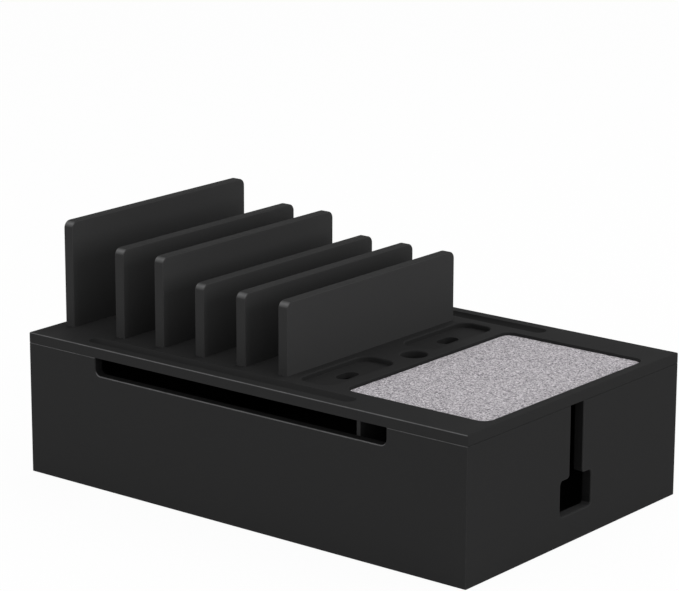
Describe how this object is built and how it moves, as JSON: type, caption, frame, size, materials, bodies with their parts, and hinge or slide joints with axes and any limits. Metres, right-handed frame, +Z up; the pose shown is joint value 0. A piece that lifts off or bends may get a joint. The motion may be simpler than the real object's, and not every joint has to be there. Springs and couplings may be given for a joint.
{
  "type": "charging station organizer",
  "caption": "Desk charging organizer: a low cable box with side slots and a keyhole end, and a lift-off top with a backrest, upright dividers, case recesses and a felt pad.",
  "frame": {"origin": "middle of the footprint, on the surface that the foot pads stand on", "axes": "+X along the long sides towards the end wall with the keyhole cut-out, +Y from the near long side to the far one, +Z up"},
  "size_m": [0.321, 0.205, 0.1509],
  "materials": {
    "black_board": "satin black paint over fine fibreboard, eased edges",
    "grey_felt": "short-napped heathered grey felt",
    "pad_rubber": "matt black rubber",
    "screw_steel": "bright zinc plate"
  },
  "bodies": {
    "box": {"bottom_panel": "black_board", "near_long_wall": "black_board", "far_long_wall": "black_board", "rear_end_wall": "black_board", "keyhole_end_wall": "black_board", "partition": "black_board", "corner_block_near_rear": "black_board", "corner_block_near_front": "black_board", "corner_block_far_rear": "black_board", "corner_block_far_front": "black_board", "foot_pad_near_rear": "pad_rubber", "foot_pad_near_front": "pad_rubber", "foot_pad_far_rear": "pad_rubber", "foot_pad_far_front": "pad_rubber", "bottom_screws": "screw_steel"},
    "lid": {"lid_panel": "black_board", "backrest": "black_board", "divider_1": "black_board", "divider_2": "black_board", "divider_3": "black_board", "divider_4": "black_board", "divider_5": "black_board", "lid_locator_near_rear": "black_board", "lid_locator_near_front": "black_board", "lid_locator_far_rear": "black_board", "lid_locator_far_front": "black_board", "felt_pad": "grey_felt", "upright_screws": "screw_steel"}
  },
  "joints": [
    {"name": "lid_lift", "type": "slide", "parent": "box", "child": "lid", "axis": [0, 0, 1], "range_m": [0, 0.12]}
  ]
}
